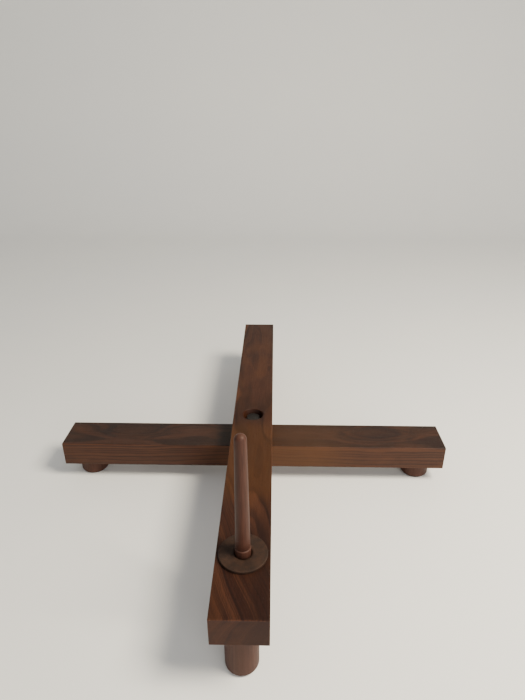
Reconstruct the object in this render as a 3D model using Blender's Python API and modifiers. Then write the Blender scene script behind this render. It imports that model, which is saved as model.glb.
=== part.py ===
"""Folding walnut cross stand for a recorder, metres, +Z up, origin on the floor under the pivot.

Two bars lie one on top of the other and turn about a bolt at their middles. The upper, longer bar
stands on two tall round legs and carries the instrument's peg on its front arm. The lower bar stands
on two short round feet, and swings under the long bar to fold the stand flat.
"""
import math

import bmesh
import bpy
from mathutils import Matrix, Vector

# Driving dimensions
BAR_WIDTH = 0.040
LONG_BAR_LENGTH = 0.476
LONG_BAR_THICKNESS = 0.0242
CROSSBAR_LENGTH = 0.394
CROSSBAR_THICKNESS = 0.0256
ARRIS = 0.0005
FIT_GAP = 0.0003

PAD_THICKNESS = 0.0010
PAD_INSET = 0.0016
FOOT_DIAMETER = 0.0284
FOOT_HEIGHT = 0.0159
FOOT_INSET = 0.0237
FOOT_TENON_DIAMETER = 0.014
FOOT_TENON_LENGTH = 0.012

LEG_DIAMETER = 0.0248
LEG_INSET = 0.0193
LEG_TENON_DIAMETER = 0.018
LEG_TENON_LENGTH = 0.016
EDGE_ROUND = 0.0010

BOLT_DIAMETER = 0.008
BOLT_LENGTH = 0.055
BOLT_HEAD_ACROSS_FLATS = 0.013
BOLT_HEAD_HEIGHT = 0.0053
BOLT_HOLE_DIAMETER = 0.0086
COUNTERBORE_DIAMETER = 0.0208
COUNTERBORE_DEPTH = 0.0105

HEAD_WASHER_DIAMETER = 0.0196
LOWER_WASHER_DIAMETER = 0.024
WASHER_THICKNESS = 0.0016
SPRING_WASHER_DIAMETER = 0.0148
SPRING_WASHER_THICKNESS = 0.0020
SPRING_WASHER_SLIT = 0.0015
FRICTION_DISC_DIAMETER = 0.036
FRICTION_DISC_THICKNESS = 0.0008

NUT_DIAMETER = 0.0200
NUT_HEIGHT = 0.0070
NUT_COLLAR_DIAMETER = 0.0140
NUT_COLLAR_HEIGHT = 0.0022
KNURL_TEETH = 36
KNURL_DEPTH = 0.0004

PEG_DISTANCE = 0.185
PEG_HEIGHT = 0.104
PEG_BASE_DIAMETER = 0.0120
PEG_TIP_DIAMETER = 0.0085
PEG_STRAIGHT = 0.008
PEG_TENON_DIAMETER = 0.010
PEG_TENON_LENGTH = 0.0155
RING_DIAMETER = 0.036
RING_HOLE_DIAMETER = 0.0132
RING_THICKNESS = 0.0020

SIDES = 48

# Levels worked out from them, from the floor up
FOOT_BOTTOM = PAD_THICKNESS + FIT_GAP
FOOT_TOP = FOOT_BOTTOM + FOOT_HEIGHT
CROSSBAR_BOTTOM = FOOT_TOP + FIT_GAP
CROSSBAR_TOP = CROSSBAR_BOTTOM + CROSSBAR_THICKNESS
DISC_BOTTOM = CROSSBAR_TOP + FIT_GAP
LONG_BAR_BOTTOM = DISC_BOTTOM + FRICTION_DISC_THICKNESS + FIT_GAP
LONG_BAR_TOP = LONG_BAR_BOTTOM + LONG_BAR_THICKNESS
LEG_TOP = LONG_BAR_BOTTOM - FIT_GAP
COUNTERBORE_FLOOR = LONG_BAR_TOP - COUNTERBORE_DEPTH
HEAD_WASHER_BOTTOM = COUNTERBORE_FLOOR + FIT_GAP
BOLT_HEAD_BOTTOM = HEAD_WASHER_BOTTOM + WASHER_THICKNESS + FIT_GAP
BOLT_TIP = BOLT_HEAD_BOTTOM - BOLT_LENGTH
LOWER_WASHER_TOP = CROSSBAR_BOTTOM - FIT_GAP
LOWER_WASHER_BOTTOM = LOWER_WASHER_TOP - WASHER_THICKNESS
SPRING_WASHER_TOP = LOWER_WASHER_BOTTOM - FIT_GAP
SPRING_WASHER_BOTTOM = SPRING_WASHER_TOP - SPRING_WASHER_THICKNESS
NUT_TOP = SPRING_WASHER_BOTTOM - FIT_GAP
NUT_BOTTOM = NUT_TOP - NUT_HEIGHT
PEG_SHOULDER = LONG_BAR_TOP + FIT_GAP

LEG_Y = LONG_BAR_LENGTH / 2 - LEG_INSET
FOOT_X = CROSSBAR_LENGTH / 2 - FOOT_INSET


def clear_scene():
    for leftover in list(bpy.data.objects):
        bpy.data.objects.remove(leftover)


def new_collection(name):
    collection = bpy.data.collections.new(name)
    bpy.context.scene.collection.children.link(collection)
    return collection


def make_material(name, colour, roughness, metallic=0.0):
    material = bpy.data.materials.new(name)
    material.use_nodes = True
    shader = material.node_tree.nodes["Principled BSDF"]
    shader.inputs["Base Color"].default_value = (*colour, 1.0)
    shader.inputs["Roughness"].default_value = roughness
    shader.inputs["Metallic"].default_value = metallic
    return material


def add_object(name, mesh, collection, material=None, location=(0.0, 0.0, 0.0)):
    piece = bpy.data.objects.new(name, mesh)
    piece.location = location
    collection.objects.link(piece)
    if material is not None:
        mesh.materials.append(material)
    return piece


def smooth_round_faces(mesh, sharp_angle=math.radians(35)):
    mesh.shade_smooth()
    mesh.set_sharp_from_angle(angle=sharp_angle)


def box_mesh(name, size, centre):
    shape = bmesh.new()
    bmesh.ops.create_cube(shape, size=1.0)
    bmesh.ops.transform(shape, matrix=Matrix.Diagonal((*size, 1.0)), verts=shape.verts)
    bmesh.ops.translate(shape, vec=Vector(centre), verts=shape.verts)
    mesh = bpy.data.meshes.new(name)
    shape.to_mesh(mesh)
    shape.free()
    return mesh


def cylinder_mesh(name, diameter, bottom, top, sides=SIDES):
    shape = bmesh.new()
    bmesh.ops.create_cone(shape, cap_ends=True, segments=sides, radius1=diameter / 2,
                          radius2=diameter / 2, depth=top - bottom)
    bmesh.ops.translate(shape, vec=(0.0, 0.0, (top + bottom) / 2), verts=shape.verts)
    mesh = bpy.data.meshes.new(name)
    shape.to_mesh(mesh)
    shape.free()
    smooth_round_faces(mesh)
    return mesh


def turned(name, profile, collection, material, location=(0.0, 0.0, 0.0), closed=False):
    """Turn a profile of (radius, height) points, listed from the top down its outer side."""
    points = [(radius, 0.0, height) for radius, height in profile]
    edges = [(i, i + 1) for i in range(len(points) - 1)]
    if closed:
        edges.append((len(points) - 1, 0))
    mesh = bpy.data.meshes.new(name)
    mesh.from_pydata(points, edges, [])
    piece = add_object(name, mesh, collection, material, location)
    screw = piece.modifiers.new("turn", "SCREW")
    screw.axis = "Z"
    screw.angle = math.tau
    screw.steps = SIDES
    screw.render_steps = SIDES
    screw.use_merge_vertices = True
    screw.merge_threshold = 0.00001
    depsgraph = bpy.context.evaluated_depsgraph_get()
    solid = bpy.data.meshes.new_from_object(piece.evaluated_get(depsgraph))
    piece.modifiers.clear()
    piece.data = solid
    smooth_round_faces(solid)
    return piece


def ring_profile(outer_diameter, hole_diameter, bottom, top):
    inner, outer = hole_diameter / 2, outer_diameter / 2
    return [(inner, top), (outer, top), (outer, bottom), (inner, bottom)]


def rounded_corner(radius, height, size, start_degrees, end_degrees, steps=4):
    """Arc of points round a corner whose arc centre is at (radius, height)."""
    arc = []
    for i in range(steps + 1):
        angle = math.radians(start_degrees + (end_degrees - start_degrees) * i / steps)
        arc.append((radius + size * math.cos(angle), height + size * math.sin(angle)))
    return arc


def combine(piece, other, operation):
    """Boolean of piece with another object, which stays in the scene as a hidden guide."""
    other.hide_render = True
    other.display_type = "WIRE"
    modifier = piece.modifiers.new(other.name, "BOOLEAN")
    modifier.operation = operation
    modifier.solver = "EXACT"
    modifier.object = other


def cut_round(piece, name, diameter, bottom, top, guides, location=(0.0, 0.0, 0.0)):
    cutter = add_object(name, cylinder_mesh(name, diameter, bottom, top), guides, None, location)
    combine(piece, cutter, "DIFFERENCE")


def soften(piece, width):
    bevel = piece.modifiers.new("arris", "BEVEL")
    bevel.width = width
    bevel.segments = 2
    bevel.limit_method = "ANGLE"


def make_long_bar(stand, guides, walnut):
    middle = (LONG_BAR_BOTTOM + LONG_BAR_TOP) / 2
    size = (BAR_WIDTH, LONG_BAR_LENGTH, LONG_BAR_THICKNESS)
    bar = add_object("long_bar", box_mesh("long_bar", size, (0, 0, middle)), stand, walnut)
    soften(bar, ARRIS)
    over = LONG_BAR_TOP + 0.01
    under = LONG_BAR_BOTTOM - 0.01
    cut_round(bar, "long_bar_bolt_hole", BOLT_HOLE_DIAMETER, under, COUNTERBORE_FLOOR + 0.001, guides)
    cut_round(bar, "long_bar_counterbore", COUNTERBORE_DIAMETER, COUNTERBORE_FLOOR, over, guides)
    cut_round(bar, "peg_hole", PEG_TENON_DIAMETER + 2 * FIT_GAP,
              LONG_BAR_TOP - PEG_TENON_LENGTH - FIT_GAP, over, guides, (0, -PEG_DISTANCE, 0))
    for end, side in (("front", -1), ("back", 1)):
        cut_round(bar, end + "_leg_hole", LEG_TENON_DIAMETER + 2 * FIT_GAP, under,
                  LEG_TOP + LEG_TENON_LENGTH + FIT_GAP, guides, (0, side * LEG_Y, 0))
    return bar


def make_crossbar(stand, guides, walnut):
    middle = (CROSSBAR_BOTTOM + CROSSBAR_TOP) / 2
    size = (CROSSBAR_LENGTH, BAR_WIDTH, CROSSBAR_THICKNESS)
    bar = add_object("crossbar", box_mesh("crossbar", size, (0, 0, middle)), stand, walnut)
    soften(bar, ARRIS)
    under = CROSSBAR_BOTTOM - 0.01
    cut_round(bar, "crossbar_bolt_hole", BOLT_HOLE_DIAMETER, under, CROSSBAR_TOP + 0.01, guides)
    for end, side in (("left", -1), ("right", 1)):
        cut_round(bar, end + "_foot_hole", FOOT_TENON_DIAMETER + 2 * FIT_GAP, under,
                  FOOT_TOP + FOOT_TENON_LENGTH + FIT_GAP, guides, (side * FOOT_X, 0, 0))
    return bar


def make_leg(name, diameter, tenon_diameter, tenon_length, shoulder, location, stand, wood):
    """Round leg with a rounded lower edge and a tenon that goes up into its bar."""
    radius, tenon = diameter / 2, tenon_diameter / 2
    profile = [(0.0, shoulder + tenon_length), (tenon, shoulder + tenon_length)]
    profile += [(tenon, shoulder), (radius, shoulder)]
    profile += rounded_corner(radius - EDGE_ROUND, FOOT_BOTTOM + EDGE_ROUND, EDGE_ROUND, 0, -90)
    profile.append((0.0, FOOT_BOTTOM))
    return turned(name, profile, stand, wood, location)


def make_legs(stand, wood):
    for end, side in (("front", -1), ("back", 1)):
        make_leg(end + "_leg", LEG_DIAMETER, LEG_TENON_DIAMETER, LEG_TENON_LENGTH, LEG_TOP,
                 (0, side * LEG_Y, 0), stand, wood)
    for end, side in (("left", -1), ("right", 1)):
        make_leg(end + "_foot", FOOT_DIAMETER, FOOT_TENON_DIAMETER, FOOT_TENON_LENGTH, FOOT_TOP,
                 (side * FOOT_X, 0, 0), stand, wood)


def make_pads(stand, felt):
    places = {
        "front_pad": (LEG_DIAMETER, (0, -LEG_Y, 0)),
        "back_pad": (LEG_DIAMETER, (0, LEG_Y, 0)),
        "left_pad": (FOOT_DIAMETER, (-FOOT_X, 0, 0)),
        "right_pad": (FOOT_DIAMETER, (FOOT_X, 0, 0)),
    }
    for name, (leg_diameter, location) in places.items():
        diameter = leg_diameter - 2 * PAD_INSET
        add_object(name, cylinder_mesh(name, diameter, 0.0, PAD_THICKNESS), stand, felt, location)


def make_bolt(stand, guides, steel):
    """Hexagon-headed bolt: the head's prism joined to a round shank with a chamfered tip."""
    head = cylinder_mesh("pivot_bolt", BOLT_HEAD_ACROSS_FLATS / math.cos(math.pi / 6),
                         BOLT_HEAD_BOTTOM, BOLT_HEAD_BOTTOM + BOLT_HEAD_HEIGHT, sides=6)
    bolt = add_object("pivot_bolt", head, stand, steel)
    radius, chamfer = BOLT_DIAMETER / 2, 0.0008
    top = BOLT_HEAD_BOTTOM + BOLT_HEAD_HEIGHT / 2
    profile = [(0.0, top), (radius, top), (radius, BOLT_TIP + chamfer)]
    profile += [(radius - chamfer, BOLT_TIP), (0.0, BOLT_TIP)]
    shank = turned("bolt_shank", profile, guides, steel)
    combine(bolt, shank, "UNION")
    return bolt


def make_washers(stand, guides, steel, fibre):
    hole = BOLT_HOLE_DIAMETER
    turned("bolt_washer", ring_profile(HEAD_WASHER_DIAMETER, hole, HEAD_WASHER_BOTTOM,
                                       HEAD_WASHER_BOTTOM + WASHER_THICKNESS),
           stand, steel, closed=True)
    turned("friction_disc", ring_profile(FRICTION_DISC_DIAMETER, hole, DISC_BOTTOM,
                                         DISC_BOTTOM + FRICTION_DISC_THICKNESS),
           stand, fibre, closed=True)
    turned("lower_washer", ring_profile(LOWER_WASHER_DIAMETER, hole, LOWER_WASHER_BOTTOM,
                                        LOWER_WASHER_TOP),
           stand, steel, closed=True)
    spring = turned("spring_washer", ring_profile(SPRING_WASHER_DIAMETER, hole,
                                                  SPRING_WASHER_BOTTOM, SPRING_WASHER_TOP),
                    stand, steel, closed=True)
    slit_size = (SPRING_WASHER_SLIT, SPRING_WASHER_DIAMETER, 2 * SPRING_WASHER_THICKNESS)
    slit_centre = (0, SPRING_WASHER_DIAMETER / 2, SPRING_WASHER_BOTTOM + SPRING_WASHER_THICKNESS / 2)
    slit = add_object("washer_slit", box_mesh("washer_slit", slit_size, slit_centre), guides)
    combine(spring, slit, "DIFFERENCE")


def make_nut(stand, guides, brass):
    """Thumb nut: a straight-knurled rim below a plain round collar, bored through."""
    rim = cylinder_mesh("clamp_nut", NUT_DIAMETER, NUT_BOTTOM, NUT_TOP - NUT_COLLAR_HEIGHT,
                        sides=2 * KNURL_TEETH)
    for vertex in rim.vertices:
        tooth = round(math.atan2(vertex.co.y, vertex.co.x) / math.pi * KNURL_TEETH)
        if tooth % 2:
            scale = 1.0 - 2 * KNURL_DEPTH / NUT_DIAMETER
            vertex.co.x *= scale
            vertex.co.y *= scale
    nut = add_object("clamp_nut", rim, stand, brass)
    collar_mesh = cylinder_mesh("nut_collar", NUT_COLLAR_DIAMETER, NUT_BOTTOM + 0.001, NUT_TOP)
    collar = add_object("nut_collar", collar_mesh, guides)
    combine(nut, collar, "UNION")
    cut_round(nut, "nut_bore", BOLT_HOLE_DIAMETER, NUT_BOTTOM - 0.01, NUT_TOP + 0.01, guides)
    return nut


def make_peg(stand, wood):
    """Tapered peg with a domed tip; its tenon stands loose in a blind hole in the long bar."""
    base, tip, tenon = PEG_BASE_DIAMETER / 2, PEG_TIP_DIAMETER / 2, PEG_TENON_DIAMETER / 2
    top = PEG_SHOULDER + PEG_HEIGHT
    profile = list(reversed(rounded_corner(0.0, top - tip, tip, 0, 90, steps=6)))
    profile += [(base, PEG_SHOULDER + PEG_STRAIGHT), (base, PEG_SHOULDER)]
    profile += [(tenon, PEG_SHOULDER), (tenon, LONG_BAR_TOP - PEG_TENON_LENGTH)]
    profile.append((0.0, LONG_BAR_TOP - PEG_TENON_LENGTH))
    return turned("instrument_peg", profile, stand, wood, (0, -PEG_DISTANCE, 0))


def make_bell_ring(stand, leather):
    bottom = LONG_BAR_TOP + FIT_GAP
    profile = ring_profile(RING_DIAMETER, RING_HOLE_DIAMETER, bottom, bottom + RING_THICKNESS)
    return turned("bell_ring", profile, stand, leather, (0, -PEG_DISTANCE, 0), closed=True)


def main():
    clear_scene()
    stand = new_collection("recorder_stand")
    guides = new_collection("guides")
    walnut = make_material("walnut", (0.130, 0.055, 0.032), 0.42)
    dowel = make_material("dowel_wood", (0.190, 0.080, 0.050), 0.45)
    felt = make_material("felt", (0.050, 0.035, 0.028), 0.95)
    leather = make_material("leather", (0.060, 0.030, 0.018), 0.70)
    fibre = make_material("fibre", (0.035, 0.022, 0.016), 0.85)
    black_steel = make_material("black_steel", (0.035, 0.034, 0.034), 0.40, 1.0)
    brass = make_material("brass", (0.640, 0.430, 0.170), 0.32, 1.0)
    make_long_bar(stand, guides, walnut)
    make_crossbar(stand, guides, walnut)
    make_legs(stand, dowel)
    make_pads(stand, felt)
    make_bolt(stand, guides, black_steel)
    make_washers(stand, guides, black_steel, fibre)
    make_nut(stand, guides, brass)
    make_peg(stand, dowel)
    make_bell_ring(stand, leather)


main()
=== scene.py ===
"""Looks for the walnut recorder stand: fine meshes and procedural materials around the CAD frame."""
import math

import bmesh
import bpy
from mathutils import Matrix, Vector, noise


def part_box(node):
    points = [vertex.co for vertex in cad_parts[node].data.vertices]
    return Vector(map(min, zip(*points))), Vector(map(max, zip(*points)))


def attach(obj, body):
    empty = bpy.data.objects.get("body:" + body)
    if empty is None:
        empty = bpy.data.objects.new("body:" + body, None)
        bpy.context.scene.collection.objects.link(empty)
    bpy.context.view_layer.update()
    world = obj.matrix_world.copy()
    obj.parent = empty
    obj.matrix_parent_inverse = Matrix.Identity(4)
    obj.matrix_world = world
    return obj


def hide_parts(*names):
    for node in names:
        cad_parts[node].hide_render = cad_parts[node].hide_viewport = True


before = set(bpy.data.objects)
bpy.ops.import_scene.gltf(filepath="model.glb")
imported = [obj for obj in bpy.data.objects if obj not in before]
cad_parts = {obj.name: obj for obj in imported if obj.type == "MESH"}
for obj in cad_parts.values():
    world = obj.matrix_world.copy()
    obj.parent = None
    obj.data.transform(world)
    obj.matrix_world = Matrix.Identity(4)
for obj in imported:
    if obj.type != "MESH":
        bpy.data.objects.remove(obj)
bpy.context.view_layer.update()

MM = 0.001
MM_PER_METRE = 1000.0

# Places taken from the CAD pieces
LONG_LOW, LONG_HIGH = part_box("long_bar")
CROSS_LOW, CROSS_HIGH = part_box("crossbar")
PEG_LOW, PEG_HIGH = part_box("instrument_peg")
BAR_WIDTH = LONG_HIGH.x - LONG_LOW.x
LONG_TOP = LONG_HIGH.z
PIVOT = Vector((0, 0, 0))
PEG_CENTRE = Vector((0.0, (PEG_LOW.y + PEG_HIGH.y) / 2, 0.0))

# Holes in the wood, with room for the bolt and the peg's tenon
BOLT_HOLE = 8.6 * MM
COUNTERBORE = 20.8 * MM
COUNTERBORE_DEPTH = 10.5 * MM
PEG_HOLE = 10.6 * MM
RIM_CHAMFER = 0.35 * MM

# Edges and fits
ARRIS = 0.55 * MM
GAP = 0.3 * MM
SEAT_GAP = 0.05 * MM

# Mesh making: sides of a round piece and of a hole, merging distance, and the radius that counts as none
ROUND_SIDES = 96
HOLE_SIDES = 72
WELD = 0.004 * MM
ON_AXIS = 0.0001 * MM

# Camera: place in bar widths from the middle of the long bar's top, angles in degrees, lens and
# sensor in millimetres
CAMERA_PLACE = Vector((0.52, -11.535, 7.439))
CAMERA_PITCH, CAMERA_YAW, CAMERA_ROLL = 25.84, 1.35, -0.124
CAMERA_LENS, CAMERA_SENSOR = 27.05, 36.0

# Light: name, place, point aimed at, width and height, watts, colour
SOFTBOXES = (
    ("window", (0.66, -0.36, 0.96), (0.28, -0.22, 0), (0.42, 0.42), 26.0, (1.0, 0.91, 0.74)),
    ("room", (1.2, -2.5, 0.95), (0, 0, 0.03), (2.4, 1.3), 36.0, (1.0, 0.97, 0.92)),
)
SKY_COLOUR = (0.96, 0.98, 1.0, 1.0)
SKY_STRENGTH = 0.44

# Floor: it runs back from its front edge to a bend, and from there up into a wall
FLOOR_FRONT, FLOOR_BACK = -9.0, 1.0
FLOOR_HALF_WIDTH = 7.0
BEND_RADIUS, BEND_STEPS = 0.35, 16
WALL_TOP = 4.0
FLOOR_PALE, FLOOR_DULL = (0.87, 0.86, 0.83), (0.84, 0.835, 0.81)

# Walnut of the two bars
WALNUT_PALE = (0.116, 0.040, 0.0175)
WALNUT_WARM = (0.136, 0.046, 0.0155)
WALNUT_DEEP = (0.060, 0.0195, 0.0098)
WALNUT_PORE = (0.010, 0.005, 0.0035)
# End grain: its own darker, duller tone with a painted grey reflection mixed into the colour
WALNUT_END_AND_REFLECTION = (0.034, 0.0190, 0.0165)
# Heartwood colour, also used as painted shadow of the instrument's bell on the long bar's front end
HEARTWOOD_AND_SHADE = (0.019, 0.0074, 0.0050)
AMBER = (0.092, 0.0345, 0.0085)
# Painted shade: a colour multiply that darkens the faces looking upward
PAINTED_TOP_SHADE = (0.58, 0.62, 0.70)
WORN_LIGHTER = 1.3

# Turned wood of the legs, feet and peg
TURNED_PALE = (0.066, 0.0260, 0.0170)
TURNED_DEEP = (0.049, 0.0187, 0.0124)
TURNED_STREAK = (0.034, 0.0135, 0.0095)
TURNED_PORE = (0.040, 0.018, 0.012)
TURNED_END = (0.070, 0.032, 0.020)

# Metals, felt and leather
STEEL_BLACK, STEEL_BROWN = (0.016, 0.0155, 0.016), (0.034, 0.027, 0.023)
STEEL_BARE = (0.13, 0.125, 0.12)
BRASS_BRIGHT, BRASS_TARNISHED = (0.66, 0.44, 0.17), (0.30, 0.18, 0.07)
FELT_DARK, FELT_PALE = (0.012, 0.009, 0.0075), (0.050, 0.036, 0.029)
FELT_CLUMP = (0.050, 0.036, 0.030)
LEATHER_FRESH, LEATHER_WORN = (0.020, 0.010, 0.0062), (0.040, 0.019, 0.011)
FIBRE_FRESH, FIBRE_WORN = (0.020, 0.013, 0.009), (0.036, 0.024, 0.017)
CREASE = (0.012, 0.006, 0.004)

# Which axes run along the grain, across it and up through the piece
GRAIN_ORDER = {"X": (0, 1, 2), "Y": (1, 0, 2), "Z": (2, 0, 1)}

# Oval figure on the crossbar's top, in millimetres: place along the bar, offset from its middle line,
# half length and half width
CROSSBAR_OVALS = ((-124.0, 4.0, 36.0, 13.0), (129.0, 1.0, 39.0, 14.0))
OVAL_RISE = 9.0


# ---------------------------------------------------------------- camera, light and stage

def aim_camera():
    """Camera at the photograph's place: above the front arm, looking down along the long bar."""
    pitch, yaw, roll = (math.radians(a) for a in (CAMERA_PITCH, CAMERA_YAW, CAMERA_ROLL))
    place = CAMERA_PLACE * BAR_WIDTH + Vector((0, 0, LONG_TOP))
    turn = Matrix.Rotation(yaw, 3, "Z") @ Matrix.Rotation(math.pi / 2 - pitch, 3, "X")
    turn = turn @ Matrix.Rotation(roll, 3, "Z")
    lens = bpy.data.cameras.new("camera")
    lens.sensor_width = CAMERA_SENSOR
    lens.lens = CAMERA_LENS
    lens.clip_start = 0.01
    camera = bpy.data.objects.new("camera", lens)
    camera.matrix_world = Matrix.Translation(place) @ turn.to_4x4()
    bpy.context.scene.collection.objects.link(camera)
    bpy.context.scene.camera = camera


def add_softbox(name, place, target, size, power, colour):
    light = bpy.data.lights.new(name, "AREA")
    light.shape = "RECTANGLE"
    light.size, light.size_y = size
    light.energy = power
    light.color = colour
    box = bpy.data.objects.new(name, light)
    box.location = place
    box.rotation_euler = (Vector(target) - Vector(place)).to_track_quat("-Z", "Y").to_euler()
    bpy.context.scene.collection.objects.link(box)


def light_scene():
    """Even sky light, a warm window high on the right and a wide soft light from the front right."""
    world = bpy.data.worlds.new("studio")
    world.use_nodes = True
    background = world.node_tree.nodes["Background"]
    background.inputs["Color"].default_value = SKY_COLOUR
    background.inputs["Strength"].default_value = SKY_STRENGTH
    bpy.context.scene.world = world
    for softbox in SOFTBOXES:
        add_softbox(*softbox)


def make_stage():
    """Pale floor that curves up into a backdrop well behind the stand."""
    profile = [(FLOOR_FRONT, 0.0)]
    for i in range(BEND_STEPS + 1):
        angle = math.radians(90 * i / BEND_STEPS)
        profile.append((FLOOR_BACK + BEND_RADIUS * math.sin(angle), BEND_RADIUS * (1 - math.cos(angle))))
    profile.append((FLOOR_BACK + BEND_RADIUS, WALL_TOP))
    mesh = bpy.data.meshes.new("floor")
    verts = [(side * FLOOR_HALF_WIDTH, y, z) for y, z in profile for side in (-1, 1)]
    faces = [(2 * i, 2 * i + 1, 2 * i + 3, 2 * i + 2) for i in range(len(profile) - 1)]
    mesh.from_pydata(verts, [], faces)
    mesh.shade_smooth()
    floor = bpy.data.objects.new("floor", mesh)
    bpy.context.scene.collection.objects.link(floor)
    shader = Shader("floor_card")
    patches = shader.noise(shader.position, 9.0, detail=3)
    shader.put("Base Color", shader.mix(patches, FLOOR_PALE, FLOOR_DULL))
    shader.put("Roughness", 0.72)
    shader.bump(shader.noise(shader.position, 900.0, detail=2), distance=0.0001, strength=0.25)
    mesh.materials.append(shader.material)


# ---------------------------------------------------------------- node graphs

class Shader:
    """One material's node graph, built by short calls that return output sockets."""

    def __init__(self, name):
        self.material = bpy.data.materials.new(name)
        self.material.use_nodes = True
        self.tree = self.material.node_tree
        self.surface = self.tree.nodes["Principled BSDF"]
        coordinates = self.node("ShaderNodeTexCoord")
        self.position = coordinates.outputs["Object"]
        self.facing = coordinates.outputs["Normal"]

    def node(self, kind, **settings):
        made = self.tree.nodes.new(kind)
        for key, value in settings.items():
            setattr(made, key, value)
        return made

    def plug(self, socket, value):
        """Give an input socket another node's output, a colour or a number."""
        if isinstance(value, bpy.types.NodeSocket):
            self.tree.links.new(value, socket)
        elif isinstance(value, tuple) and len(value) == 3 and socket.type == "RGBA":
            socket.default_value = (*value, 1.0)
        else:
            socket.default_value = value

    def put(self, name, value):
        self.plug(self.surface.inputs[name], value)

    def math(self, operation, a, b=0.0, c=0.0):
        made = self.node("ShaderNodeMath", operation=operation)
        for socket, value in zip(made.inputs, (a, b, c)):
            self.plug(socket, value)
        return made.outputs[0]

    def add(self, *values):
        total = values[0]
        for value in values[1:]:
            total = self.math("ADD", total, value)
        return total

    def times(self, *values):
        total = values[0]
        for value in values[1:]:
            total = self.math("MULTIPLY", total, value)
        return total

    def minus(self, a, b):
        return self.math("SUBTRACT", a, b)

    def size_of(self, value):
        return self.math("ABSOLUTE", value)

    def vector(self, x, y, z):
        made = self.node("ShaderNodeCombineXYZ")
        for socket, value in zip(made.inputs, (x, y, z)):
            self.plug(socket, value)
        return made.outputs[0]

    def stretched(self, axes, lengthwise, crosswise):
        """Texture space with one scale along the grain and another across it."""
        along, across, up = axes
        return self.vector(self.times(along, lengthwise), self.times(across, crosswise),
                           self.times(up, crosswise))

    def split(self, vector):
        made = self.node("ShaderNodeSeparateXYZ")
        self.plug(made.inputs[0], vector)
        return made.outputs[0], made.outputs[1], made.outputs[2]

    def noise(self, vector, scale, detail=2.0, roughness=0.5, distortion=0.0):
        made = self.node("ShaderNodeTexNoise", noise_dimensions="3D")
        for key, value in (("Vector", vector), ("Scale", scale), ("Detail", detail),
                           ("Roughness", roughness), ("Distortion", distortion)):
            self.plug(made.inputs[key], value)
        return made.outputs[0]

    def line_noise(self, value, scale, detail=2.0, roughness=0.5):
        made = self.node("ShaderNodeTexNoise", noise_dimensions="1D")
        for key, entry in (("W", value), ("Scale", scale), ("Detail", detail), ("Roughness", roughness)):
            self.plug(made.inputs[key], entry)
        return made.outputs[0]

    def cells(self, scale, feature):
        made = self.node("ShaderNodeTexVoronoi", feature=feature)
        self.plug(made.inputs["Vector"], self.position)
        self.plug(made.inputs["Scale"], scale)
        return made.outputs["Distance"]

    def remap(self, value, low, high, to_low=0.0, to_high=1.0):
        """Smooth step from to_low to to_high while the value goes from low to high."""
        made = self.node("ShaderNodeMapRange", interpolation_type="SMOOTHSTEP")
        for socket, entry in zip(made.inputs, (value, low, high, to_low, to_high)):
            self.plug(socket, entry)
        return made.outputs[0]

    def mix(self, share, a, b, blend="MIX"):
        """Colour a where the share is zero, and b, or a blended with b, where it is one."""
        made = self.node("ShaderNodeMix", data_type="RGBA", blend_type=blend)
        colour_a, colour_b, colour_out = made.inputs[6], made.inputs[7], made.outputs[2]
        self.plug(made.inputs["Factor"], share)
        self.plug(colour_a, a)
        self.plug(colour_b, b)
        return colour_out

    def bump(self, height, distance, strength, after=None):
        """Put a bump on the surface, on top of an earlier one if there is one."""
        made = self.node("ShaderNodeBump")
        self.plug(made.inputs["Height"], height)
        self.plug(made.inputs["Distance"], distance)
        self.plug(made.inputs["Strength"], strength)
        if after is not None:
            self.plug(made.inputs["Normal"], after)
        self.put("Normal", made.outputs[0])
        return made.outputs[0]


# ---------------------------------------------------------------- wood

def wood_axes(shader, grain, centre):
    """Distances in millimetres along the grain, across it and up, from the piece's centre."""
    place = shader.split(shader.position)
    return [shader.math("MULTIPLY_ADD", place[axis], MM_PER_METRE, -MM_PER_METRE * centre[axis])
            for axis in GRAIN_ORDER[grain]]


def wood_layers(shader, axes, pith, wander, swirl=None):
    """Growth-ring distance from a bent pith line, in millimetres. swirl moves the rings sideways."""
    along, across, up = axes
    bend = shader.noise(shader.stretched(axes, 0.007, 0.022), 1.0, detail=3)
    side = shader.add(across, shader.times(shader.minus(bend, 0.5), wander), -pith[0])
    if swirl is not None:
        side = shader.add(side, swirl)
    other_patch = 37.0
    space = shader.vector(shader.add(shader.times(along, 0.008), other_patch),
                          shader.times(across, 0.03), shader.times(up, 0.03))
    bend = shader.noise(space, 1.0, detail=2)
    rise = shader.add(up, shader.times(shader.minus(bend, 0.5), wander), -pith[1])
    squared = shader.add(shader.times(side, side), shader.times(rise, rise))
    return shader.math("SQRT", squared)


def end_grain_share(shader, grain):
    """One on the faces that the grain runs into, zero along the sides."""
    facing = shader.split(shader.facing)[GRAIN_ORDER[grain][0]]
    return shader.remap(shader.size_of(facing), 0.6, 0.9)


def arris_distance(shader, axes, half_size):
    """Distance in millimetres from a box's nearest arris: the second smallest distance to a face."""
    to_faces = [shader.minus(half, shader.size_of(value)) for value, half in zip(axes, half_size)]
    low = shader.math("MINIMUM", to_faces[1], to_faces[2])
    high = shader.math("MAXIMUM", to_faces[1], to_faces[2])
    return shader.math("MINIMUM", high, shader.math("MAXIMUM", low, to_faces[0]))


def edge_wear(shader, axes, half_size):
    """One on the rubbed stretches of a bar's arrises, zero elsewhere."""
    edge = arris_distance(shader, axes, half_size)
    rub = shader.noise(shader.stretched(axes, 0.12, 1.0), 0.5, detail=3.0)
    return shader.times(shader.remap(edge, 1.3, 0.1), shader.remap(rub, 0.42, 0.66))


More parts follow.
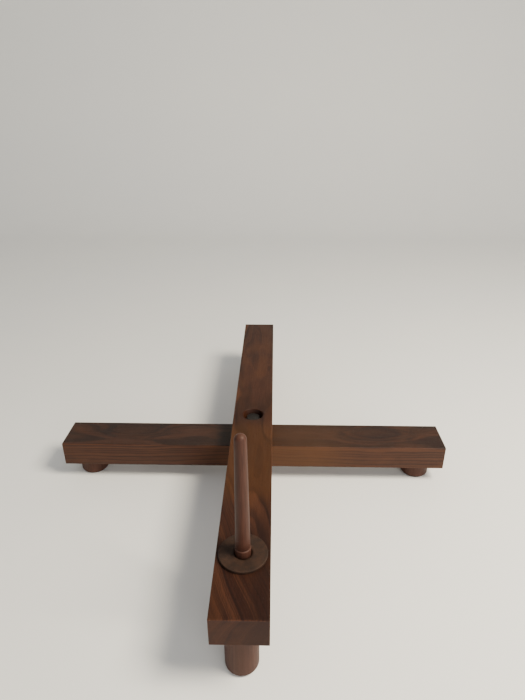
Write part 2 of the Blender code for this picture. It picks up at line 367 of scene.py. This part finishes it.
def growth_lines(shader, ring, wide):
    """Thin dark line every few millimetres of growth, crowded or spread where the bands change."""
    lines_per_mm, band_shift = 0.21, 0.6
    growth = shader.add(shader.times(ring, lines_per_mm), shader.times(wide, band_shift))
    phase = shader.math("FRACT", growth)
    return shader.times(shader.remap(phase, 0.62, 0.97), shader.remap(phase, 1.0, 0.97))


def walnut(name, node, grain, pith, band, tone, sheen, details, swirl=None, ovals=()):
    """Oiled walnut cut from a solid log: rings, streaks, fibres and pores all run through the piece.

    pith is where the log's middle lies, across and up from the piece's own, in millimetres. band is
    how closely the colour bands follow each other, tone scales the colours, sheen is the specular
    level, and details adds the figure that only this piece has, and on the long bar also painted
    shadow of the instrument's bell.
    """
    shader = Shader(name)
    low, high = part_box(node)
    axes = wood_axes(shader, grain, (low + high) / 2)
    along, across = axes[:2]
    ring = wood_layers(shader, axes, pith, wander=16.0, swirl=swirl(shader, along) if swirl else None)
    for oval in ovals:
        ring = shader.add(ring, oval_bump(shader, along, across, oval))
    wide = shader.remap(shader.line_noise(ring, band), 0.36, 0.66)
    fine = shader.remap(shader.line_noise(ring, 0.42, detail=3.0, roughness=0.6), 0.38, 0.66)
    line = growth_lines(shader, ring, wide)
    fibre = shader.noise(shader.stretched(axes, 0.035, 0.9), 1.6, detail=5.0, roughness=0.62,
                         distortion=0.15)
    pore = shader.noise(shader.stretched(axes, 0.16, 2.6), 1.5, roughness=0.55)
    pore = shader.remap(pore, 0.60, 0.70)
    cloud = shader.noise(shader.stretched(axes, 0.02, 0.05), 1.0)

    # Colour, from the widest figure to the finest, then the end grain with its painted grey reflection,
    # worn arrises and painted shade on the upward faces
    pale, warm, deep, dark = (tuple(part * tone for part in colour)
                              for colour in (WALNUT_PALE, WALNUT_WARM, WALNUT_DEEP, HEARTWOOD_AND_SHADE))
    colour = shader.mix(wide, pale, deep)
    colour = shader.mix(shader.times(fine, 0.55), colour, dark)
    colour = shader.mix(shader.times(line, 0.62), colour, dark)
    colour = shader.mix(shader.remap(fibre, 0.30, 0.75, 0.0, 0.42), colour, dark)
    colour = shader.mix(shader.remap(cloud, 0.45, 0.75, 0.0, 0.35), colour, warm)
    colour = details(shader, axes, colour)
    colour = shader.mix(shader.times(pore, 0.55), colour, WALNUT_PORE)
    # End faces get their own darker tone plus a painted grey reflection
    end_grain = end_grain_share(shader, grain)
    colour = shader.mix(shader.times(end_grain, 0.62), colour, WALNUT_END_AND_REFLECTION)
    half_size = [(high - low)[axis] * MM_PER_METRE / 2 for axis in GRAIN_ORDER[grain]]
    wear = edge_wear(shader, axes, half_size)
    colour = shader.mix(shader.times(wear, 0.30), colour, tuple(WORN_LIGHTER * part for part in pale))
    # Painted shade: the tops are darkened by a colour multiply, so they read darker than the fronts
    top_shade_share = shader.remap(shader.split(shader.facing)[2], 0.5, 0.9)
    shader.put("Base Color", shader.mix(top_shade_share, colour, PAINTED_TOP_SHADE, blend="MULTIPLY"))

    # Gloss and relief
    shader.put("Roughness", shader.add(0.44, shader.times(fibre, 0.14), shader.times(pore, 0.12),
                                       shader.times(end_grain, 0.14), shader.times(wear, -0.08)))
    shader.put("Specular IOR Level", sheen)
    ripple = shader.noise(shader.stretched(axes, 0.05, 0.12), 1.0, detail=1.0)
    planed = shader.bump(ripple, distance=0.0006, strength=0.25)
    relief = shader.add(shader.times(fibre, 0.6), shader.times(pore, -0.9), shader.times(line, 0.25))
    shader.bump(relief, distance=0.00012, strength=0.55, after=planed)
    return shader.material


def oval_distance(shader, along, across, oval):
    """Zero at the middle of an oval on the face, one at its rim."""
    middle, offset, half_length, half_width = oval
    a = shader.times(shader.add(along, -middle), 1.0 / half_length)
    b = shader.times(shader.add(across, -offset), 1.0 / half_width)
    return shader.math("SQRT", shader.add(shader.times(a, a), shader.times(b, b)))


def oval_bump(shader, along, across, oval):
    """Bump in the ring surfaces, which makes closed, long oval lines on the face."""
    reach = oval_distance(shader, along, across, oval)
    return shader.times(shader.math("EXPONENT", shader.times(reach, reach, -1.0)), OVAL_RISE)


def front_lean(shader, along):
    """Sideways drift of the grain: straight at the pivot, and diagonal on the front arm."""
    lean_start, lean, drift = -95.0, 0.44, 0.02
    beyond = shader.math("MINIMUM", shader.add(along, -lean_start), 0.0)
    return shader.add(shader.times(beyond, lean), shader.times(along, drift))


def long_bar_details(shader, axes, colour):
    """Painted shadow and reflection of the instrument's bell, in a heartwood colour, on the front end,
    mostly its right half; dark heartwood over the pivot, with amber between.
    """
    along, across = axes[:2]
    wavy = shader.noise(shader.stretched(axes, 0.03, 1.0), 0.1)
    edge = shader.times(shader.minus(wavy, 0.5), 14.0)
    # Painted shadow and reflection of the instrument's bell: the front end, mostly its right half,
    # darkened towards the heartwood colour
    right = shader.remap(shader.add(across, edge), -6.0, 15.0)
    front_arm_shade = shader.remap(along, -110.0, -170.0)
    share = shader.times(shader.add(shader.times(right, 0.42), 0.28), front_arm_shade)
    colour = shader.mix(share, colour, HEARTWOOD_AND_SHADE)
    between = shader.remap(shader.size_of(shader.add(along, edge, 70.0)), 70.0, 40.0)
    colour = shader.mix(shader.times(between, 0.50), colour, AMBER)
    pivot = shader.remap(shader.size_of(shader.add(along, edge, -4.0)), 34.0, 10.0)
    return shader.mix(shader.times(pivot, 0.45), colour, HEARTWOOD_AND_SHADE)


def crossbar_details(shader, axes, colour):
    """Dark growth line round the oval on each arm, and an amber streak near the pivot."""
    along, across, up = axes
    near_top = shader.remap(up, -4.0, 9.0)
    space = shader.vector(shader.times(along, 0.03), shader.times(across, 0.12), up)
    patchy = shader.noise(space, 1.0, detail=3.0)
    for oval in CROSSBAR_OVALS:
        reach = oval_distance(shader, along, across, oval)
        reach = shader.add(reach, shader.times(shader.minus(patchy, 0.5), 0.7))
        off_line = shader.size_of(shader.add(reach, -1.0))
        line = shader.times(shader.remap(off_line, 0.15, 0.02), shader.remap(patchy, 0.30, 0.60))
        inside = shader.remap(reach, 1.1, 0.5)
        share = shader.add(shader.times(line, 0.75), shader.times(inside, 0.25))
        colour = shader.mix(shader.times(share, near_top), colour, HEARTWOOD_AND_SHADE)
    middle = shader.remap(shader.size_of(shader.add(along, -32.0)), 95.0, 20.0)
    return shader.mix(shader.times(middle, 0.45), colour, AMBER)


def turned_wood(name, node, pith, figure):
    """Fine reddish-brown hardwood with its grain standing along the turned piece."""
    shader = Shader(name)
    low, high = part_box(node)
    axes = wood_axes(shader, "Z", (low + high) / 2)
    ring = wood_layers(shader, axes, pith, wander=5.0)
    band = shader.remap(shader.line_noise(ring, 0.45, detail=3.0), 0.30, 0.75)
    streak = shader.noise(shader.stretched(axes, 0.05, 1.0), 1.1, detail=5.0, roughness=0.6)
    pore = shader.remap(shader.noise(shader.stretched(axes, 0.25, 3.4), 1.3), 0.61, 0.72)
    colour = shader.mix(band, TURNED_PALE, TURNED_DEEP)
    colour = shader.mix(shader.remap(streak, 0.35, 0.75, 0.0, figure), colour, TURNED_STREAK)
    colour = shader.mix(shader.times(pore, 0.45), colour, TURNED_PORE)
    colour = shader.mix(shader.times(end_grain_share(shader, "Z"), 0.35), colour, TURNED_END)
    shader.put("Base Color", colour)
    shader.put("Roughness", shader.add(0.47, shader.times(streak, 0.12), shader.times(pore, 0.10)))
    shader.put("Specular IOR Level", 0.18)
    lathe_marks = shader.noise(shader.vector(0.0, 0.0, shader.times(axes[0], 2.4)), 1.0)
    marks = shader.bump(lathe_marks, distance=0.00006, strength=0.35)
    relief = shader.add(shader.times(streak, 0.5), shader.times(pore, -0.8))
    shader.bump(relief, distance=0.0001, strength=0.45, after=marks)
    return shader.material


# ---------------------------------------------------------------- metal, felt and leather

def black_steel():
    """Blackened steel with a faint brown bloom, rubbed brighter in fine scratches."""
    shader = Shader("blackened_steel")
    bloom = shader.noise(shader.position, 420.0, detail=4.0)
    x, y, z = shader.split(shader.position)
    fine, long = 2500.0, 160.0
    space = shader.vector(shader.times(x, fine), shader.times(y, long), shader.times(z, fine))
    scratch = shader.remap(shader.noise(space, 1.0), 0.64, 0.74)
    colour = shader.mix(bloom, STEEL_BLACK, STEEL_BROWN)
    shader.put("Base Color", shader.mix(shader.times(scratch, 0.4), colour, STEEL_BARE))
    shader.put("Metallic", 0.8)
    shader.put("Specular IOR Level", 0.3)
    shader.put("Roughness", shader.add(0.36, shader.times(bloom, 0.22)))
    relief = shader.add(bloom, shader.times(scratch, -0.5))
    shader.bump(relief, distance=0.00004, strength=0.4)
    return shader.material


def aged_brass():
    """Turned brass with brown tarnish in patches and fine tool marks round it."""
    shader = Shader("aged_brass")
    tarnish = shader.remap(shader.noise(shader.position, 260.0, detail=5.0, roughness=0.6), 0.38, 0.72)
    shader.put("Base Color", shader.mix(tarnish, BRASS_BRIGHT, BRASS_TARNISHED))
    shader.put("Metallic", 1.0)
    shader.put("Roughness", shader.add(0.24, shader.times(tarnish, 0.24)))
    height = shader.times(shader.split(shader.position)[2], 9000.0)
    turning = shader.noise(shader.vector(0.0, 0.0, height), 1.0)
    relief = shader.add(turning, shader.times(tarnish, 0.5))
    shader.bump(relief, distance=0.00003, strength=0.4)
    return shader.material


def pressed_felt():
    """Dark brown wool felt: matted fibres with a soft sheen."""
    shader = Shader("pressed_felt")
    mat = shader.noise(shader.position, 1700.0, detail=4.0, roughness=0.7, distortion=1.2)
    clump = shader.noise(shader.position, 380.0)
    colour = shader.mix(mat, FELT_DARK, FELT_PALE)
    shader.put("Base Color", shader.mix(shader.times(clump, 0.4), colour, FELT_CLUMP))
    shader.put("Roughness", 0.95)
    shader.put("Specular IOR Level", 0.2)
    shader.put("Sheen Weight", 0.08)
    relief = shader.add(mat, shader.times(clump, 0.5))
    shader.bump(relief, distance=0.0003, strength=0.8)
    return shader.material


def creased_brown(name, fresh, worn):
    """Leather and pressed fibre: pebbled grain, dark creases and rubbed patches."""
    shader = Shader(name)
    pebble = shader.cells(1400.0, "SMOOTH_F1")
    crease = shader.remap(shader.cells(900.0, "DISTANCE_TO_EDGE"), 0.0, 0.10)
    rubbed = shader.noise(shader.position, 160.0, detail=4.0)
    colour = shader.mix(shader.remap(rubbed, 0.35, 0.70), fresh, worn)
    shader.put("Base Color", shader.mix(shader.times(shader.minus(1.0, crease), 0.55), colour, CREASE))
    shader.put("Roughness", shader.add(0.55, shader.times(rubbed, 0.25)))
    shader.put("Specular IOR Level", 0.2)
    relief = shader.add(shader.times(crease, 0.8), shader.times(pebble, -0.4))
    shader.bump(relief, distance=0.00016, strength=0.7)
    return shader.material


# ---------------------------------------------------------------- mesh tools

def finish_mesh(mesh, sharp_degrees):
    """Smooth shading that breaks at edges sharper than an angle."""
    mesh.shade_smooth()
    mesh.set_sharp_from_angle(angle=math.radians(sharp_degrees))


def add_piece(name, mesh, material, body, node):
    """Put a finished mesh in the scene for a CAD node, riding on its body."""
    mesh.materials.clear()
    mesh.materials.append(material)
    piece = bpy.data.objects.new(name, mesh)
    bpy.context.scene.collection.objects.link(piece)
    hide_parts(node)
    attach(piece, body)
    return piece


def to_mesh(build, name):
    """Turn a bmesh into a mesh and free it."""
    mesh = bpy.data.meshes.new(name)
    build.to_mesh(mesh)
    build.free()
    return mesh


def lathe(name, profile, segments, centre, closed=False, shape=None):
    """Solid of revolution about a vertical axis. profile runs down the outer side; shape(angle, r, z)
    returns a changed radius and height, for knurls, threads and slight unevenness."""
    build = bmesh.new()
    rings = []
    for radius, height in profile:
        if radius < ON_AXIS:
            rings.append([build.verts.new((centre.x, centre.y, height))])
            continue
        ring = []
        for i in range(segments):
            angle = math.tau * i / segments
            r, z = shape(angle, radius, height) if shape else (radius, height)
            x, y = centre.x + r * math.cos(angle), centre.y + r * math.sin(angle)
            ring.append(build.verts.new((x, y, z)))
        rings.append(ring)
    pairs = list(zip(rings, rings[1:]))
    if closed:
        pairs.append((rings[-1], rings[0]))
    for upper, lower in pairs:
        for i in range(segments):
            j = (i + 1) % segments
            if len(upper) == 1:
                build.faces.new((upper[0], lower[i], lower[j]))
            elif len(lower) == 1:
                build.faces.new((upper[i], lower[0], upper[j]))
            else:
                build.faces.new((upper[i], lower[i], lower[j], upper[j]))
    return to_mesh(build, name)


def arc(centre_r, centre_z, radius, start, end, steps):
    """Points round a rounded corner, angles in degrees, 0 outwards and 90 upwards."""
    points = []
    for i in range(steps + 1):
        angle = math.radians(start + (end - start) * i / steps)
        points.append((centre_r + radius * math.cos(angle), centre_z + radius * math.sin(angle)))
    return points


def soft_disc_profile(outer, hole, bottom, top, edge):
    """Closed section of a flat ring: rounded corners outside and chamfered ones at the hole."""
    profile = [(hole + edge, top)]
    profile += arc(outer - edge, top - edge, edge, 90, 0, 3)
    profile += arc(outer - edge, bottom + edge, edge, 0, -90, 3)
    profile += [(hole + edge, bottom), (hole, bottom + edge), (hole, top - edge)]
    return profile


def uneven(amount, scale, seed, flat_below=None):
    """Small smooth wander of a turned surface, as worked wood, felt and leather have."""
    other_patch = Vector((7.3, 2.1, 5.9))

    def change(angle, radius, height):
        spot = Vector((math.cos(angle) * radius * scale, math.sin(angle) * radius * scale,
                       height * scale + seed))
        push = noise.noise(spot) * amount
        lift = noise.noise(spot + other_patch) * amount
        if flat_below is not None and height < flat_below:
            lift = 0.0
        return radius + push, height + lift
    return change


def boolean(mesh, other, operation):
    """Exact Boolean of two meshes, applied, with its slivers merged away."""
    first = bpy.data.objects.new("first", mesh)
    second = bpy.data.objects.new("second", other)
    for temporary in (first, second):
        bpy.context.scene.collection.objects.link(temporary)
    modifier = first.modifiers.new("cut", "BOOLEAN")
    modifier.operation = operation
    modifier.solver = "EXACT"
    modifier.object = second
    depsgraph = bpy.context.evaluated_depsgraph_get()
    result = bpy.data.meshes.new_from_object(first.evaluated_get(depsgraph))
    for temporary in (first, second):
        bpy.data.objects.remove(temporary)
    build = bmesh.new()
    build.from_mesh(result)
    bmesh.ops.remove_doubles(build, verts=build.verts, dist=WELD)
    bmesh.ops.dissolve_degenerate(build, edges=build.edges, dist=WELD)
    build.to_mesh(result)
    build.free()
    return result


# ---------------------------------------------------------------- bars

def planed_bar(name, node, cuts):
    """Straight bar with softly eased arrises and the faint hollows that hand planing leaves."""
    low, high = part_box(node)
    size, centre = high - low, (low + high) / 2
    build = bmesh.new()
    bmesh.ops.create_cube(build, size=1.0)
    bmesh.ops.transform(build, matrix=Matrix.Diagonal((*size, 1.0)), verts=build.verts)
    for axis in range(3):
        edges = [e for e in build.edges if abs((e.verts[0].co - e.verts[1].co)[axis]) > 0.5 * size[axis]]
        bmesh.ops.subdivide_edges(build, edges=edges, cuts=cuts[axis], use_grid_fill=True)
    arrises = [e for e in build.edges if e.calc_face_angle(0.0) > 1.0]
    bmesh.ops.bevel(build, geom=arrises, offset=ARRIS, segments=3, profile=0.55, affect="EDGES")
    hollow_depth, hollows_per_metre, other_patch = 0.00005, 38.0, 9.0
    for vertex in build.verts:
        spot = vertex.co * hollows_per_metre
        wave = Vector((noise.noise(spot), noise.noise(spot + Vector((other_patch, 0, 0))),
                       noise.noise(spot + Vector((0, other_patch, 0)))))
        vertex.co += wave * hollow_depth
        for axis in range(3):
            limit = size[axis] / 2
            vertex.co[axis] = max(-limit, min(limit, vertex.co[axis]))
    bmesh.ops.translate(build, vec=centre, verts=build.verts)
    return to_mesh(build, name)


def drill(mesh, diameter, low, high, centre, mouth):
    """Round hole between two heights, with a small chamfer at its mouth: +1 above, -1 below."""
    radius, overshoot = diameter / 2, MM
    if mouth > 0:
        profile = [(0, high + overshoot), (radius + RIM_CHAMFER + overshoot, high + overshoot)]
        profile += [(radius, high - RIM_CHAMFER), (radius, low), (0, low)]
    else:
        profile = [(0, high), (radius, high), (radius, low + RIM_CHAMFER)]
        profile += [(radius + RIM_CHAMFER + overshoot, low - overshoot), (0, low - overshoot)]
    cutter = lathe("cutter", profile, HOLE_SIDES, centre)
    return boolean(mesh, cutter, "DIFFERENCE")


def finish_bar(name, mesh, material, body, node):
    finish_mesh(mesh, sharp_degrees=38.0)
    piece = add_piece(name, mesh, material, body, node)
    even = piece.modifiers.new("even_shading", "WEIGHTED_NORMAL")
    even.keep_sharp = True
    even.weight = 80


def make_long_bar():
    """Upper bar with the bolt's counterbore and hole, and the hole for the peg's tenon."""
    mesh = planed_bar("upper_bar", "long_bar", (5, 59, 3))
    recess_floor = LONG_TOP - COUNTERBORE_DEPTH
    mesh = drill(mesh, COUNTERBORE, recess_floor, LONG_TOP, PIVOT, 1)
    mesh = drill(mesh, BOLT_HOLE, LONG_LOW.z, recess_floor + MM, PIVOT, -1)
    mesh = drill(mesh, PEG_HOLE, PEG_LOW.z - GAP, LONG_TOP, PEG_CENTRE, 1)
    material = walnut("walnut_long", "long_bar", "Y", pith=(6.0, -46.0), band=0.085, tone=1.08,
                      sheen=0.11, details=long_bar_details, swirl=front_lean)
    finish_bar("upper_bar", mesh, material, "base", "long_bar")


def make_crossbar():
    """Lower bar with the bolt's hole."""
    mesh = planed_bar("lower_bar", "crossbar", (49, 5, 3))
    mesh = drill(mesh, BOLT_HOLE, CROSS_LOW.z, CROSS_HIGH.z + 2 * MM, PIVOT, -1)
    material = walnut("walnut_cross", "crossbar", "X", pith=(-9.0, -52.0), band=0.052, tone=0.64,
                      sheen=0.24, details=crossbar_details, ovals=CROSSBAR_OVALS)
    finish_bar("lower_bar", mesh, material, "swing_bar", "crossbar")


# ---------------------------------------------------------------- turned pieces, pads and rings

def make_leg(node, body, underside, seed):
    """Straight turned leg: crisp shoulder under the bar and a rounded lower edge."""
    low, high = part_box(node)
    radius = (high.x - low.x) / 2
    shoulder, edge = 0.4 * MM, 1.3 * MM
    rings = 9
    step = (underside - low.z - edge) / rings
    profile = [(0, underside), (radius - shoulder, underside), (radius, underside - shoulder)]
    profile += [(radius, underside - i * step) for i in range(1, rings)]
    profile += arc(radius - edge, low.z + edge, edge, 0, -90, 5)
    profile.append((0, low.z))
    mesh = lathe(node, profile, ROUND_SIDES, (low + high) / 2, shape=uneven(0.05 * MM, 60.0, seed))
    finish_mesh(mesh, sharp_degrees=40.0)
    material = turned_wood("wood_" + node, node, pith=(4.0 + seed, -26.0), figure=0.45)
    add_piece(node + "_turned", mesh, material, body, node)


def make_legs():
    """Two tall legs under the long bar and two short feet under the crossbar, each with other grain."""
    seed_step, first_foot_seed = 1.5, 3.0
    for i, node in enumerate(("front_leg", "back_leg")):
        make_leg(node, "base", LONG_LOW.z, seed_step * i)
    for i, node in enumerate(("left_foot", "right_foot")):
        make_leg(node, "swing_bar", CROSS_LOW.z, first_foot_seed + seed_step * i)


def make_pads():
    """Felt discs under the legs and feet, with soft edges and flat undersides."""
    felt = pressed_felt()
    edge, flat_below = 0.35 * MM, 0.4 * MM
    for seed, (node, body) in enumerate((("front_pad", "base"), ("back_pad", "base"),
                                         ("left_pad", "swing_bar"), ("right_pad", "swing_bar"))):
        low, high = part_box(node)
        radius = (high.x - low.x) / 2
        top = high.z + GAP
        profile = [(0, top), (radius / 2, top)] + arc(radius - edge, top - edge, edge, 90, 0, 3)
        profile += arc(radius - edge, low.z + edge, edge, 0, -90, 3) + [(radius / 2, low.z), (0, low.z)]
        wander = uneven(0.12 * MM, 900.0, seed, flat_below)
        mesh = lathe(node, profile, ROUND_SIDES, (low + high) / 2, shape=wander)
        finish_mesh(mesh, sharp_degrees=60.0)
        pad = add_piece(node + "_felt", mesh, felt, body, node)


def make_peg():
    """Tapered peg: long taper with a domed tip, a groove and a bead above the shoulder, and a tenon."""
    base, tip, tenon = (PEG_HIGH.x - PEG_LOW.x) / 2, 4.25 * MM, 5.0 * MM
    groove, bead, bead_drop = 0.75 * MM, 0.9 * MM, 1.1 * MM
    taper_end, taper_lift = 0.5 * MM, 0.4 * MM
    chamfer, tenon_chamfer = 0.4 * MM, 0.8 * MM
    shoulder = LONG_TOP + SEAT_GAP
    groove_height = shoulder + 8.0 * MM
    dome_height = PEG_HIGH.z - tip
    profile = arc(0, dome_height, tip, 90, 8, 8)
    steps = 12
    for i in range(1, steps):
        share = i / steps
        height = dome_height * (1 - share) + groove_height * share
        profile.append((tip + (base - taper_end - tip) * share, height))
    profile += [(base - taper_end, groove_height + taper_lift), (base - groove, groove_height)]
    profile += arc(base - bead, groove_height - bead_drop, bead, 70, 0, 4)
    profile += [(base, shoulder + 0.5 * MM), (base - chamfer, shoulder), (tenon, shoulder)]
    profile += [(tenon, PEG_LOW.z + tenon_chamfer), (tenon - tenon_chamfer, PEG_LOW.z), (0, PEG_LOW.z)]
    mesh = lathe("peg", profile, ROUND_SIDES, PEG_CENTRE, shape=uneven(0.03 * MM, 90.0, 8.0))
    finish_mesh(mesh, sharp_degrees=40.0)
    material = turned_wood("wood_peg", "instrument_peg", pith=(3.0, -18.0), figure=0.85)
    add_piece("peg_turned", mesh, material, "peg", "instrument_peg")


def make_bell_ring():
    """Leather ring round the peg, with a slightly wavy top and a flat underside."""
    low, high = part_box("bell_ring")
    outer, hole = (high.x - low.x) / 2, 6.6 * MM
    profile = soft_disc_profile(outer, hole, LONG_TOP + SEAT_GAP, high.z, 0.45 * MM)
    wave_points = [(radius * MM, high.z) for radius in (8.5, 11.0, 13.5, 16.0)]
    profile = profile[:1] + wave_points + profile[1:]
    wander = uneven(0.07 * MM, 170.0, 4.0, flat_below=LONG_TOP + 0.8 * MM)
    mesh = lathe("bell_ring", profile, 128, PEG_CENTRE, closed=True, shape=wander)
    finish_mesh(mesh, sharp_degrees=60.0)
    leather = creased_brown("brown_leather", LEATHER_FRESH, LEATHER_WORN)
    add_piece("bell_ring_leather", mesh, leather, "base", "bell_ring")


def make_friction_disc():
    """Thin fibre disc that takes up most of the gaps between the bars."""
    low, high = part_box("friction_disc")
    outer, swell = (high.x - low.x) / 2, 0.2 * MM
    profile = soft_disc_profile(outer, BOLT_HOLE / 2, low.z - swell, high.z + swell, 0.2 * MM)
    mesh = lathe("friction_disc", profile, ROUND_SIDES, PIVOT, closed=True)
    finish_mesh(mesh, sharp_degrees=60.0)
    fibre = creased_brown("pressed_fibre", FIBRE_FRESH, FIBRE_WORN)
    add_piece("friction_disc_fibre", mesh, fibre, "swing_bar", "friction_disc")


# ---------------------------------------------------------------- hardware

def thread(pitch, depth, low, high):
    """Radius change of a helical thread between two heights."""
    def change(angle, radius, height):
        if not low < height < high:
            return radius, height
        turn = (height / pitch - angle / math.tau) % 1.0
        return radius - depth * abs(2.0 * turn - 1.0), height
    return change


def bolt_head(bottom, top, flat, corner):
    """Hexagon with chamfered corners above and a round washer face below; flat and corner are radii."""
    hexagon_bottom, overshoot, chamfer_height, chamfer_slope = bottom + 0.4 * MM, MM, 1.1 * MM, 1.77
    profile = [(0, top), (corner, top), (corner, hexagon_bottom), (0, hexagon_bottom)]
    prism = lathe("head", profile, 6, PIVOT)
    prism.transform(Matrix.Rotation(math.pi / 6, 4, "Z"))
    top_circle, outside, washer_face = flat * 0.95, flat * 1.25, flat * 0.93
    profile = [(0, top + overshoot), (top_circle - chamfer_slope * overshoot, top + overshoot)]
    profile += [(outside, top - chamfer_height), (outside, bottom - overshoot), (0, bottom - overshoot)]
    head = boolean(prism, lathe("cone", profile, HOLE_SIDES, PIVOT), "INTERSECT")
    profile = [(0, bottom + MM), (washer_face, bottom + MM), (washer_face, bottom), (0, bottom)]
    return boolean(head, lathe("collar", profile, HOLE_SIDES, PIVOT), "UNION")


def make_bolt(steel):
    """M8 hexagon bolt with a plain shank above and a cut thread below."""
    low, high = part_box("pivot_bolt")
    under_head = high.z - 5.3 * MM
    head = bolt_head(under_head, high.z, (high.x - low.x) / 2, (high.y - low.y) / 2)
    radius, pitch, depth, thread_top = 4.0 * MM, 1.25 * MM, 0.6 * MM, 26.0 * MM
    tip_chamfer, plain_tip = 0.8 * MM, 0.9 * MM
    rings_per_turn = 8
    steps = int((thread_top - low.z) / (pitch / rings_per_turn))
    thread_length = thread_top - low.z - tip_chamfer
    inside_head = under_head + 2 * MM
    profile = [(0, inside_head), (radius, inside_head), (radius, thread_top + 0.5 * MM)]
    profile += [(radius, thread_top - i * thread_length / steps) for i in range(steps + 1)]
    profile += [(radius - tip_chamfer, low.z), (0, low.z)]
    cut = thread(pitch, depth, low.z + plain_tip, thread_top)
    mesh = boolean(head, lathe("shank", profile, 64, PIVOT, shape=cut), "UNION")
    finish_mesh(mesh, sharp_degrees=24.0)
    add_piece("pivot_bolt_threaded", mesh, steel, "base", "pivot_bolt")


def make_washers(steel):
    for node, body in (("bolt_washer", "base"), ("lower_washer", "washers")):
        low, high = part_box(node)
        profile = soft_disc_profile((high.x - low.x) / 2, BOLT_HOLE / 2, low.z, high.z, 0.22 * MM)
        mesh = lathe(node, profile, ROUND_SIDES, PIVOT, closed=True)
        finish_mesh(mesh, sharp_degrees=50.0)
        add_piece(node + "_steel", mesh, steel, body, node)


def make_spring_washer(steel):
    """Split ring whose cut ends stand a little apart in height."""
    low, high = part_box("spring_washer")
    outer, hole = (high.x - low.x) / 2, BOLT_HOLE / 2
    edge, lift = 0.2 * MM, 0.12 * MM
    start, sweep, sections = math.radians(96.0), math.radians(348.0), 96
    middle, half = (low.z + high.z) / 2, (high.z - low.z) / 2 - lift
    outline = [(hole + edge, half), (outer - edge, half), (outer, half - edge), (outer, edge - half)]
    outline += [(outer - edge, -half), (hole + edge, -half), (hole, edge - half), (hole, half - edge)]
    build = bmesh.new()
    rings = []
    for i in range(sections + 1):
        share = i / sections
        angle = start + sweep * share
        rise = middle + lift * (2 * share - 1)
        rings.append([build.verts.new((r * math.cos(angle), r * math.sin(angle), z + rise))
                      for r, z in outline])
    count = len(outline)
    for first, second in zip(rings, rings[1:]):
        for i in range(count):
            j = (i + 1) % count
            build.faces.new((first[j], first[i], second[i], second[j]))
    build.faces.new(rings[0])
    build.faces.new(reversed(rings[-1]))
    bmesh.ops.recalc_face_normals(build, faces=build.faces)
    mesh = to_mesh(build, "spring_washer")
    finish_mesh(mesh, sharp_degrees=30.0)
    add_piece("spring_washer_steel", mesh, steel, "washers", "spring_washer")


def make_nut():
    """Thumb nut with a straight-knurled rim, eased rim edges, a plain collar and a countersunk bore."""
    low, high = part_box("clamp_nut")
    rim, collar, bore = (high.x - low.x) / 2, 7.0 * MM, BOLT_HOLE / 2
    shoulder = high.z - 2.2 * MM
    ease, countersink = 0.3 * MM, 0.5 * MM
    teeth, tooth_depth, knurled_band, rings_per_tooth = 36, 0.45 * MM, 0.9 * MM, 8

    def knurl(angle, radius, height):
        if radius < rim - knurled_band:
            return radius, height
        tooth = abs(((angle * teeth / math.tau) % 1.0) * 2.0 - 1.0)
        return radius - tooth_depth * tooth, height

    rim_edge = [(0.95 * MM, 0.0), (0.5 * MM, 0.1 * MM), (0.0, 0.6 * MM)]
    profile = [(bore + countersink, high.z), (collar - ease, high.z), (collar, high.z - ease)]
    profile += [(collar, shoulder + ease), (collar + ease, shoulder)]
    profile += [(rim - inward, shoulder - drop) for inward, drop in rim_edge]
    profile += [(rim - inward, low.z + drop) for inward, drop in reversed(rim_edge)]
    profile += [(bore + countersink, low.z), (bore, low.z + countersink), (bore, high.z - countersink)]
    mesh = lathe("nut", profile, teeth * rings_per_tooth, PIVOT, closed=True, shape=knurl)
    finish_mesh(mesh, sharp_degrees=22.0)
    add_piece("clamp_nut_knurled", mesh, aged_brass(), "nut", "clamp_nut")


def make_stand():
    make_long_bar()
    make_crossbar()
    make_legs()
    make_pads()
    make_peg()
    make_bell_ring()
    make_friction_disc()
    steel = black_steel()
    make_bolt(steel)
    make_washers(steel)
    make_spring_washer(steel)
    make_nut()


aim_camera()
light_scene()
make_stage()
make_stand()
